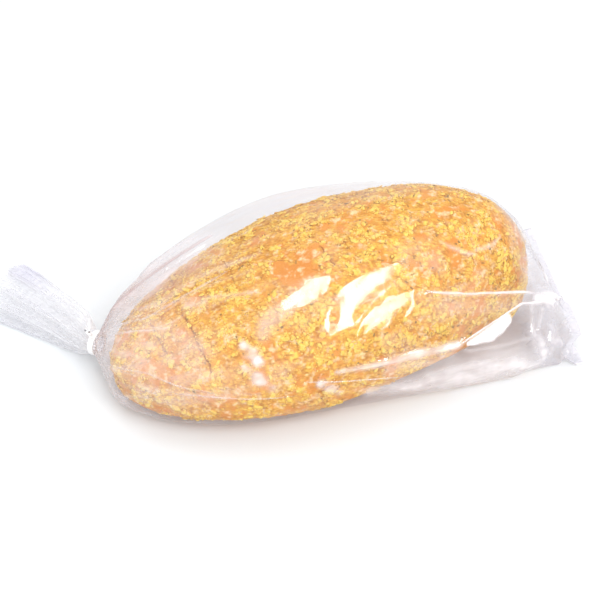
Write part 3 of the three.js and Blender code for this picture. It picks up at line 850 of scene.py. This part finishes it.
lumps = 0.75 * fbm(cp, 46, 3, 421) + 0.35 * fbm(cp, 14, 3, 425)
fine = 0.18 * fbm(cp, 4.0, 3, 431)
shell = 0.52 * edge * crumb_high * crumb_on + 0.52 * clump - 0.34 * gap + 0.10 * (1 - crumb_on)
cut_depth = np.zeros(len(cp))
for points, width, deep in CUTS:
    cut_depth = np.maximum(cut_depth, deep * near_line(points, cp, width))
cut_lip = np.zeros(len(cp))
for points, width, deep in CUTS[:3]:
    cut_lip = np.maximum(cut_lip, near_line(points, cp, width * 3.4))

r = np.random.default_rng(441)
pit_w = np.clip(0.25 + smooth(cp[:, 0], -40, 60), 0, 1) * smooth(cp[:, 2], 12, 26) * (0.3 + COVER)
pits, pit_n = scatter(420, 442, weight=pit_w)
pit_mark = np.zeros(len(cp))
pit_tree = KDTree(len(cp))
for k, p in enumerate(cp.tolist()):
    pit_tree.insert(p, k)
pit_tree.balance()
for p, n in zip(pits, pit_n):
    t = unit(np.cross(n, unit(r.normal(size=3))))
    b = np.cross(n, t)
    long, wide = r.uniform(1.1, 2.2), r.uniform(0.55, 0.95)
    for co, k, d in pit_tree.find_range(p, 3.6):
        q = np.array(co) - p
        m = math.exp(-((q @ t / long) ** 2 + (q @ b / wide) ** 2))
        if m > pit_mark[k]:
            pit_mark[k] = m

crust_height = lumps + fine + shell - 0.55 * pit_mark - cut_depth + 0.30 * cut_lip * (cut_depth < 0.4)
crust_height = np.where(crust_height > 0.95, 0.95 + 0.3 * (crust_height - 0.95), crust_height)
crust_height *= smooth(cp[:, 2], 0.9, 5)
crust_fine = cp + cn * crust_height[:, None]
crust_fine[:, 2] = np.maximum(crust_fine[:, 2], 0.7)
crust_fine = under_film(crust_fine, 0.4)

# painted shade: darker in the crevices between crumbs, in the torn gaps and along the cuts
crevice_shade = np.clip((1 - smooth(edge, 0.0, 0.75)) * crumb_on * 0.45 + 1.0 * gap + 0.5 * smooth(cut_depth, 0.3, 0.8), 0, 1)
gold = np.clip(0.25 + 0.75 * clump + 0.45 * fbm(cp, 30, 2, 461) + 0.25 * near_spot(-78, 100, 30, 26, cp), 0, 1)
ends = np.array([crust_fine.reshape(crust.shape)[0].mean(0) - [0.6, 0, 0], crust_fine.reshape(crust.shape)[-1].mean(0) + [0.6, 0, 0]])
crust_verts = np.vstack([crust_fine, ends])
tris = grid_tris(CRUST_ROWS, CRUST_AROUND, True)
ring = np.arange(CRUST_AROUND)
nxt = (ring + 1) % CRUST_AROUND
first, last = len(crust_fine), len(crust_fine) + 1
base = (CRUST_ROWS - 1) * CRUST_AROUND
caps = np.vstack([
    np.stack([np.full(CRUST_AROUND, first), nxt, ring], -1),
    np.stack([np.full(CRUST_AROUND, last), base + ring, base + nxt], -1),
])
pad = lambda a: np.append(a, [0.0, 0.0])
crust_piece = make_mesh("loaf_crust", crust_verts, np.vstack([tris, caps]), {
    "crumb": pad(crumb_on * (0.35 + 0.65 * edge)), "crevice_shade": pad(crevice_shade), "tone": pad(seed_tone[own] * crumb_on),
    "pit_shade": pad(pit_mark), "gold": pad(gold),
})

# ---------------------------------------------------------------- grit on the crust


def ball(level):
    bm = bmesh.new()
    bmesh.ops.create_icosphere(bm, subdivisions=level, radius=1.0)
    v = np.array([x.co for x in bm.verts])
    f = np.array([[x.index for x in y.verts] for y in bm.faces])
    bm.free()
    return v, f


crust_tree = KDTree(len(cp))
for k, p in enumerate(crust_fine.tolist()):
    crust_tree.insert(p, k)
crust_tree.balance()


def grains(name, amount, level, size, squash, stretch, sink, seed, weight=None, low=0.3, power=1.4, rough=0.28):
    """Irregular grains of one kind, joined into one piece."""
    r = np.random.default_rng(seed)
    p, n = scatter(amount, seed + 1, low=low, power=power, weight=weight)
    v0, f0 = ball(level)
    shapes = []
    for k in range(9):
        s = v0 * (1 + rough * r.normal(size=(len(v0), 1)))
        s *= 1 + 0.25 * r.normal(size=(1, 3))
        shapes.append(s)
    shapes = np.array(shapes)
    verts = shapes[r.integers(0, 9, amount)]
    radius = r.uniform(size[0], size[1], amount) * 0.5
    t = unit(np.cross(n, unit(r.normal(size=(amount, 3)))))
    b = np.cross(n, t)
    tilt = r.normal(size=(amount, 1)) * 0.25
    n2 = unit(n + t * tilt)
    t2 = unit(np.cross(b, n2))
    long = r.uniform(1.0, stretch, amount)
    local = (
        verts[..., 0:1] * (t2 * (radius * long)[:, None])[:, None]
        + verts[..., 1:2] * (b * radius[:, None])[:, None]
        + verts[..., 2:3] * (n2 * (radius * squash)[:, None])[:, None]
    )
    lift = np.empty(amount)
    for k, q in enumerate((p + n * 0.5).tolist()):
        co, idx, _ = crust_tree.find(q)
        lift[k] = (np.array(co) - p[k]) @ n[k]
    high = lift + radius * squash * (1 - sink)
    centre = under_film(p + n * high[:, None], radius * (squash + 0.32 * long) + 0.8)
    out = local + centre[:, None]
    faces = f0[None] + (np.arange(amount) * len(v0))[:, None, None]
    tone = np.repeat(r.random(amount), len(v0))
    return make_mesh(name, out.reshape(-1, 3), faces.reshape(-1, 3), {"tone": tone})


heap = COVER * (0.30 + 0.85 * clump)
coarse = grains("grit_coarse", 2200, 2, (1.5, 3.6), 0.30, 1.5, 0.52, 501, weight=heap, low=0.30, power=1.3, rough=0.20)
fine_grit = grains("grit_fine", 8600, 1, (0.7, 1.5), 0.50, 1.3, 0.45, 521, weight=heap, low=0.10, power=1.0, rough=0.20)
fleck_w = np.clip(0.15 + smooth(cp[:, 0], -60, 50), 0, 1) * smooth(cp[:, 2], 14, 28)
flecks = grains("bran_flecks", 300, 2, (0.7, 1.2), 0.35, 3.2, 0.55, 541, weight=fleck_w, low=0.0, power=1.0, rough=0.18)

# ---------------------------------------------------------------- fine cracks along the cuts, laid on as dark strips of painted shade

crust_bvh = BVHTree.FromPolygons([Vector(v) for v in crust_verts.tolist()], np.vstack([tris, caps]).tolist())


def crack_shade(points, width, seed):
    """A thin dark strip laid on the crust along a wandering line: painted shade of a split."""
    line = on_loaf(points)
    length = np.linalg.norm(np.diff(line, axis=0), axis=1).sum()
    fine = along(line, np.linspace(0, 1, max(16, int(length / 0.45))))
    fine = fine + 1.7 * np.stack([fbm(fine, 5.0, 3, seed + k) for k in range(3)], -1)
    p, n = [], []
    for q in fine:
        hit = crust_bvh.find_nearest(Vector(q))
        m = np.array(hit[1])
        n.append(m if m @ (np.array(hit[0]) - np.array([0, -5, 35.0])) > 0 else -m)
        p.append(hit[0])
    p, n = np.array(p), np.array(n)
    for _ in range(2):
        n[1:-1] = (n[:-2] + 2 * n[1:-1] + n[2:]) / 4
    n = unit(n)
    side = unit(np.cross(n, unit(np.gradient(p, axis=0))))
    share = np.linspace(0, 1, len(p))
    w = 0.5 * width * smooth(share, 0, 0.18) * (1 - smooth(share, 0.8, 1)) * (0.7 + 0.6 * np.clip(fbm(p, 4, 2, seed + 9) + 0.5, 0, 1))
    grid = np.stack([p + side * (w * k)[:, None] + n * 0.09 for k in (-1.0, 0.0, 1.0)], 1)
    return grid.reshape(-1, 3), grid_tris(len(p), 3, False)


parts, count = [], 0
for points, width, seed in [
    (CUTS[0][0], 0.55, 711), (CUTS[1][0], 1.05, 712), (CUTS[2][0], 0.85, 713),
    (CUTS[4][0], 0.40, 715), (CUTS[5][0], 0.40, 716), (CUTS[6][0], 0.40, 717),
    ([(-16, 88), (-12, 86), (-6, 87), (-2, 90)], 0.5, 718), ([(-30, 90), (-25, 93), (-21, 96)], 0.4, 719),
    ([(-14, 104), (-9, 107), (-4, 106)], 0.45, 720), ([(-86, 112), (-84, 120), (-85, 130)], 0.4, 721),
]:
    v, t = crack_shade(points, width, seed)
    parts.append((v, t + count))
    count += len(v)
crack_shade_strips = make_mesh("crust_crack_shade", np.vstack([p[0] for p in parts]), np.vstack([p[1] for p in parts]))

# ---------------------------------------------------------------- wire ends of the tie

stub_side = unit(NECK_UP * 0.93 + NECK_FRONT * 0.36)
stub_tip = NECK + stub_side * (NECK_R + 0.35 + 0.9 - 0.7 + 9.0)


def wire(name, at, direction, length, radius):
    direction = unit(direction)
    one = unit(np.cross(direction, [0.3, 0.2, 1]))
    two = np.cross(direction, one)
    a = np.arange(16) / 16 * 2 * np.pi
    rings = []
    for h, k in ((0, 1.0), (length * 0.5, 1.0), (length * 0.93, 1.0), (length, 0.8)):
        bend = two * 0.25 * (h / length) ** 2
        rings.append(at + direction * h + bend + np.outer(np.cos(a) * radius * k, one) + np.outer(np.sin(a) * radius * k, two))
    grid = np.array(rings)
    verts = np.vstack([grid.reshape(-1, 3), rings[-1].mean(0), rings[0].mean(0)])
    ring = np.arange(16)
    nxt = (ring + 1) % 16
    tip = np.stack([np.full(16, 64), 48 + ring, 48 + nxt], -1)
    root = np.stack([np.full(16, 65), nxt, ring], -1)
    return make_mesh(name, verts, np.vstack([grid_tris(4, 16, True), tip, root]))


wire_a = wire("tie_wire_a", stub_tip + NECK_AXIS * 1.1 - stub_side * 0.6, stub_side + NECK_AXIS * 0.25, 1.9, 0.42)
wire_b = wire("tie_wire_b", stub_tip - NECK_AXIS * 1.0 - stub_side * 0.8, stub_side - NECK_AXIS * 0.3, 1.6, 0.42)

# ---------------------------------------------------------------- materials


class Nodes:
    """A short way to write a material's nodes."""

    def __init__(self, name):
        self.m = bpy.data.materials.new(name)
        self.m.use_nodes = True
        self.t = self.m.node_tree
        self.t.nodes.clear()
        self.out = self.t.nodes.new("ShaderNodeOutputMaterial")

    def add(self, kind, **sets):
        n = self.t.nodes.new("ShaderNode" + kind)
        links = {}
        for k, v in sets.items():
            if k in ("i",):
                links = v
            else:
                setattr(n, k, v)
        for k, v in links.items():
            s = n.inputs[k]
            if isinstance(v, bpy.types.NodeSocket):
                self.t.links.new(v, s)
            else:
                s.default_value = v
        return n

    def attr(self, name):
        return self.add("Attribute", attribute_name=name).outputs["Fac"]

    def math(self, op, a, b=0.0, c=None, clamp=False):
        i = {0: a, 1: b}
        if c is not None:
            i[2] = c
        return self.add("Math", operation=op, use_clamp=clamp, i=i).outputs[0]

    def span(self, v, a, b, lo=0.0, hi=1.0):
        return self.add("MapRange", interpolation_type="SMOOTHSTEP", i={"Value": v, "From Min": a, "From Max": b, "To Min": lo, "To Max": hi}).outputs[0]

    def noise(self, vec, scale, detail=3.0, rough=0.55, distort=0.0):
        return self.add("TexNoise", i={"Vector": vec, "Scale": scale, "Detail": detail, "Roughness": rough, "Distortion": distort}).outputs["Fac"]

    def mix(self, fac, a, b, blend="MIX"):
        n = self.t.nodes.new("ShaderNodeMix")
        n.data_type, n.blend_type = "RGBA", blend
        for s, v in ((n.inputs[0], fac), (n.inputs[6], a), (n.inputs[7], b)):
            if isinstance(v, bpy.types.NodeSocket):
                self.t.links.new(v, s)
            elif isinstance(v, (tuple, list)):
                s.default_value = (*v, 1.0)
            else:
                s.default_value = v
        return n.outputs[2]

    def surface(self, socket):
        self.t.links.new(socket, self.out.inputs["Surface"])
        return self.m


def crust_material():
    n = Nodes("crust")
    obj = n.add("TexCoord").outputs["Object"]
    crumb, crevice_shade, tone, pit_shade, rich = (n.attr(k) for k in ("crumb", "crevice_shade", "tone", "pit_shade", "gold"))
    patch = n.noise(obj, 30.0, 4.0, 0.6)
    blotch = n.noise(obj, 110.0, 3.0, 0.6, 0.5)
    grainy = n.noise(obj, 300.0, 4.0, 0.62, 0.4)
    speck = n.noise(obj, 800.0, 3.0, 0.65)
    tan = n.mix(n.span(patch, 0.36, 0.64), (0.680, 0.238, 0.020), (0.735, 0.300, 0.040))
    tan = n.mix(n.span(speck, 0.45, 0.75, 0.0, 0.4), tan, (0.88, 0.45, 0.11))
    yellow = n.mix(tone, (0.830, 0.498, 0.042), (0.900, 0.632, 0.088))
    yellow = n.mix(n.span(grainy, 0.42, 0.68, 0.0, 0.65), yellow, (0.94, 0.70, 0.18))
    orange = n.mix(tone, (0.790, 0.402, 0.042), (0.870, 0.518, 0.090))
    orange = n.mix(n.span(grainy, 0.42, 0.70, 0.0, 0.5), orange, (0.92, 0.60, 0.14))
    crumbs = n.mix(n.span(n.math("ADD", n.math("MULTIPLY", rich, 0.75), n.math("MULTIPLY", blotch, 0.5)), 0.35, 0.80), orange, yellow)
    colour = n.mix(n.math("MULTIPLY", crumb, 0.94), tan, crumbs)
    marks = n.noise(obj, 360.0, 2.0, 0.5, 1.2)
    pale = n.noise(obj, 190.0, 3.0, 0.6)
    colour = n.mix(n.span(pale, 0.50, 0.66, 0.0, 0.66), colour, (0.96, 0.78, 0.47))
    colour = n.mix(n.span(marks, 0.62, 0.71, 0.0, 0.62), colour, (0.600, 0.245, 0.018))
    # painted shade in the crevices, gaps and cuts
    colour = n.mix(n.math("MULTIPLY", crevice_shade, n.span(grainy, 0.3, 0.6, 0.40, 0.95)), colour, (0.480, 0.180, 0.010))
    # painted shade: darker in the pits
    colour = n.mix(n.span(pit_shade, 0.35, 0.8, 0.0, 0.75), colour, (0.300, 0.150, 0.030))
    bump1 = n.add("Bump", i={"Strength": 0.6, "Distance": 0.0006, "Height": grainy}).outputs[0]
    bump = n.add("Bump", i={"Strength": 0.35, "Distance": 0.00025, "Height": speck, "Normal": bump1}).outputs[0]
    rough = n.span(speck, 0.3, 0.7, 0.52, 0.78)
    p = n.add("BsdfPrincipled", i={"Base Color": colour, "Roughness": rough, "Normal": bump, "Specular IOR Level": 0.25})
    return n.surface(p.outputs[0])


def grit_material(name, dark, light, high, rough=0.6):
    n = Nodes(name)
    obj = n.add("TexCoord").outputs["Object"]
    tone = n.attr("tone")
    wide = n.noise(obj, 150.0, 2.0, 0.5)
    mottle = n.noise(obj, 900.0, 3.0, 0.6)
    colour = n.mix(n.math("ADD", n.math("MULTIPLY", tone, 0.4), n.span(wide, 0.35, 0.65, 0.0, 0.6)), dark, light)
    colour = n.mix(n.span(mottle, 0.4, 0.75, 0.0, 0.6), colour, high)
    bump = n.add("Bump", i={"Strength": 0.4, "Distance": 0.0002, "Height": mottle}).outputs[0]
    p = n.add("BsdfPrincipled", i={"Base Color": colour, "Roughness": rough, "Normal": bump, "Specular IOR Level": 0.25})
    return n.surface(p.outputs[0])


def crack_shade_material():
    n = Nodes("crack_shade")
    obj = n.add("TexCoord").outputs["Object"]
    mottle = n.noise(obj, 500.0, 3.0, 0.6)
    # painted shade of the split
    colour = n.mix(n.span(mottle, 0.35, 0.7), (0.330, 0.105, 0.008), (0.600, 0.250, 0.030))
    p = n.add("BsdfPrincipled", i={"Base Color": colour, "Roughness": 0.8, "Specular IOR Level": 0.1})
    return n.surface(p.outputs[0])


def film_material(name, tint, milk, grey, scale, bump_mm, base_haze, gloss=0.07, slant=0.46, glow=0.0):
    """Thin clear film: it lets light through, mirrors more at a slant, and whitens where it is creased or lies double;
    its milk also carries painted highlights, a grey mix stands in as painted shade and a rosy mix as a painted
    reflection of the crust.
    """
    n = Nodes(name)
    obj = n.add("TexCoord").outputs["Object"]
    haze, painted_shade, crust_reflection = n.attr("haze"), n.attr("painted_shade"), n.attr("crust_reflection")
    long = n.add("Mapping", i={"Vector": obj, "Scale": (0.35, 1.0, 1.0), "Rotation": (0.0, 0.5, 0.25)}).outputs[0]
    crinkle = n.noise(long, scale, 3.0, 0.55, 0.6)
    wide = n.noise(obj, scale * 0.22, 2.0, 0.5)
    b1 = n.add("Bump", i={"Strength": 1.0, "Distance": bump_mm / 1000, "Height": crinkle}).outputs[0]
    bump = n.add("Bump", i={"Strength": 1.0, "Distance": bump_mm * 2.2 / 1000, "Height": wide, "Normal": b1}).outputs[0]
    cloudy = n.math("ADD", n.math("MULTIPLY", haze, n.span(crinkle, 0.3, 0.7, 0.75, 1.25)), base_haze, clamp=True)
    clear = n.add("BsdfTransparent", i={"Color": (*tint, 1.0)}).outputs[0]
    # painted shade greys the milk, and the rosy colour is a painted reflection of the crust
    paint = n.mix(crust_reflection, n.mix(painted_shade, milk, grey), (0.500, 0.345, 0.335))
    white = n.add("BsdfPrincipled", i={"Base Color": paint, "Roughness": 0.45, "Normal": bump, "Specular IOR Level": 0.4}).outputs[0]
    if glow:
        through = n.add("BsdfTranslucent", i={"Color": paint}).outputs[0]
        white = n.add("MixShader", i={0: glow, 1: white, 2: through}).outputs[0]
    body = n.add("MixShader", i={0: cloudy, 1: clear, 2: white}).outputs[0]
    facing = n.add("LayerWeight", i={"Blend": 0.5, "Normal": bump}).outputs["Facing"]
    mirror = n.math("ADD", n.math("MULTIPLY", n.math("POWER", facing, 4.6), slant), gloss, clamp=True)
    shine = n.add("BsdfAnisotropic", i={"Color": (1, 1, 1, 1), "Roughness": 0.11, "Normal": bump}).outputs[0]
    return n.surface(n.add("MixShader", i={0: mirror, 1: body, 2: shine}).outputs[0])


def tie_material():
    n = Nodes("tie_paper")
    obj = n.add("TexCoord").outputs["Object"]
    fibre = n.noise(obj, 1400.0, 3.0, 0.6)
    ribs = n.add("TexWave", bands_direction="DIAGONAL", i={"Vector": obj, "Scale": 420.0, "Distortion": 0.4}).outputs["Fac"]
    colour = n.mix(n.span(fibre, 0.35, 0.7), (0.86, 0.855, 0.87), (0.93, 0.93, 0.925))
    b1 = n.add("Bump", i={"Strength": 0.3, "Distance": 0.0002, "Height": ribs}).outputs[0]
    bump = n.add("Bump", i={"Strength": 0.3, "Distance": 0.0001, "Height": fibre, "Normal": b1}).outputs[0]
    p = n.add("BsdfPrincipled", i={"Base Color": colour, "Roughness": 0.42, "Normal": bump})
    return n.surface(p.outputs[0])


def wire_material():
    n = Nodes("tie_wire")
    obj = n.add("TexCoord").outputs["Object"]
    mark = n.noise(obj, 1800.0, 2.0, 0.5)
    rough = n.span(mark, 0.3, 0.7, 0.32, 0.5)
    p = n.add("BsdfPrincipled", i={"Base Color": (0.16, 0.16, 0.175, 1), "Metallic": 1.0, "Roughness": rough})
    return n.surface(p.outputs[0])


def dress(o, m):
    o.data.materials.clear()
    o.data.materials.append(m)


dress(crust_piece, crust_material())
dress(coarse, grit_material("grit_coarse", (0.810, 0.478, 0.046), (0.905, 0.645, 0.100), (0.95, 0.74, 0.27)))
dress(fine_grit, grit_material("grit_fine", (0.800, 0.428, 0.042), (0.905, 0.635, 0.105), (0.95, 0.75, 0.31)))
dress(flecks, grit_material("bran", (0.230, 0.120, 0.025), (0.370, 0.210, 0.045), (0.43, 0.27, 0.08), 0.7))
dress(crack_shade_strips, crack_shade_material())
clear_film = film_material("clear_film", (0.945, 0.939, 0.953), (0.935, 0.885, 0.900), (0.640, 0.625, 0.690), 130.0, 0.10, 0.004, 0.042)
tail_film = film_material("tail_film", (0.993, 0.992, 0.997), (0.985, 0.983, 0.990), (0.880, 0.870, 0.930), 170.0, 0.10, 0.01, 0.05, 0.18, 0.72)
dress(film_body, clear_film)
dress(film_tail, tail_film)
steel = wire_material()
dress(wire_a, steel)
dress(wire_b, steel)
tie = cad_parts["neck_tie"]
tie.data.materials.clear()
tie.data.materials.append(tie_material())

for piece in (film_body, film_tail, crust_piece, coarse, fine_grit, flecks, crack_shade_strips):
    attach(piece, "root")
    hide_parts("bread_bag")
for piece in (wire_a, wire_b):
    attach(piece, "root")

# ---------------------------------------------------------------- studio

floor_mesh = bpy.data.meshes.new("floor")
floor_mesh.from_pydata([(-14, -14, 0), (14, -14, 0), (14, 14, 0), (-14, 14, 0)], [], [(0, 1, 2, 3)])
floor = bpy.data.objects.new("floor", floor_mesh)
floor.location.z = -0.0002
bpy.context.scene.collection.objects.link(floor)
n = Nodes("floor")
p = n.add("BsdfPrincipled", i={"Base Color": (0.720, 0.742, 0.762, 1), "Roughness": 0.9, "Specular IOR Level": 0.1})
floor_mesh.materials.append(n.surface(p.outputs[0]))

world = bpy.data.worlds.new("studio")
bpy.context.scene.world = world
world.use_nodes = True
wt = world.node_tree
wt.nodes.clear()
w_out = wt.nodes.new("ShaderNodeOutputWorld")
w_bg = wt.nodes.new("ShaderNodeBackground")
w_bg.inputs["Color"].default_value = (1.0, 1.0, 1.0, 1)
w_bg.inputs["Strength"].default_value = 1.0
wt.links.new(w_bg.outputs[0], w_out.inputs["Surface"])


def softbox(name, direction, distance, size, size_y, radiance, roll=0.0, lights=True, mirrored=True):
    """A lit panel that faces the part. radiance is what it shows in a mirror."""
    light = bpy.data.lights.new(name, "AREA")
    light.shape, light.size, light.size_y = "RECTANGLE", size, size_y
    light.energy = radiance * size * size_y * math.pi
    o = bpy.data.objects.new(name, light)
    d = Vector(direction).normalized()
    o.location = Vector((0.0, 0.0, 0.05)) + d * distance
    turn = d.to_track_quat("Z", "Y") @ Quaternion((0, 0, 1), math.radians(roll))
    o.rotation_euler = turn.to_euler()
    o.visible_camera = False
    o.visible_diffuse, o.visible_glossy = lights, mirrored
    bpy.context.scene.collection.objects.link(o)
    return o


def toward(azimuth, elevation):
    a, e = math.radians(azimuth), math.radians(elevation)
    return (math.cos(a) * math.cos(e), math.sin(a) * math.cos(e), math.sin(e))


# two wide ones light it, three small bright ones show as the highlights of the film
softbox("front_fill", toward(-80, 50), 2.2, 1.3, 1.3, 5.6, mirrored=False)
softbox("back_key", toward(105, 68), 2.0, 1.0, 1.0, 2.2, mirrored=False)
softbox("front_panel", toward(-73.5, 48.5), 1.35, 0.27, 0.88, 23.0, roll=-15, lights=False)
softbox("low_panel", toward(-63.8, 19.3), 1.35, 0.115, 0.36, 19.0, roll=-3, lights=False)
softbox("top_panel", toward(171.5, 79.6), 1.5, 0.27, 0.25, 18.0, roll=50, lights=False)

# ---------------------------------------------------------------- camera

camera = bpy.data.cameras.new("camera")
camera.sensor_width = 36.0
camera.lens = 1759.87 / 600 * 36.0
camera.clip_start, camera.clip_end = 0.05, 60
cam = bpy.data.objects.new("camera", camera)
target = Vector((-0.00916459, 0.01300633, 0.03)) + Vector(SHIFT.tolist()) / 1000
azimuth, elevation = math.radians(-20), math.radians(45)
back = Vector((math.sin(azimuth) * math.cos(elevation), -math.cos(azimuth) * math.cos(elevation), math.sin(elevation)))
cam.location = target + back * 1.15
cam.rotation_mode = "QUATERNION"
cam.rotation_quaternion = (-back).to_track_quat("-Z", "Y")
bpy.context.scene.collection.objects.link(cam)
bpy.context.scene.camera = cam

scene = bpy.context.scene
scene.view_settings.view_transform = "Standard"
scene.view_settings.look = "None"
scene.view_settings.exposure = 0.0
scene.view_settings.gamma = 1.0
scene.cycles.use_denoising = True
scene.cycles.transparent_max_bounces = 40
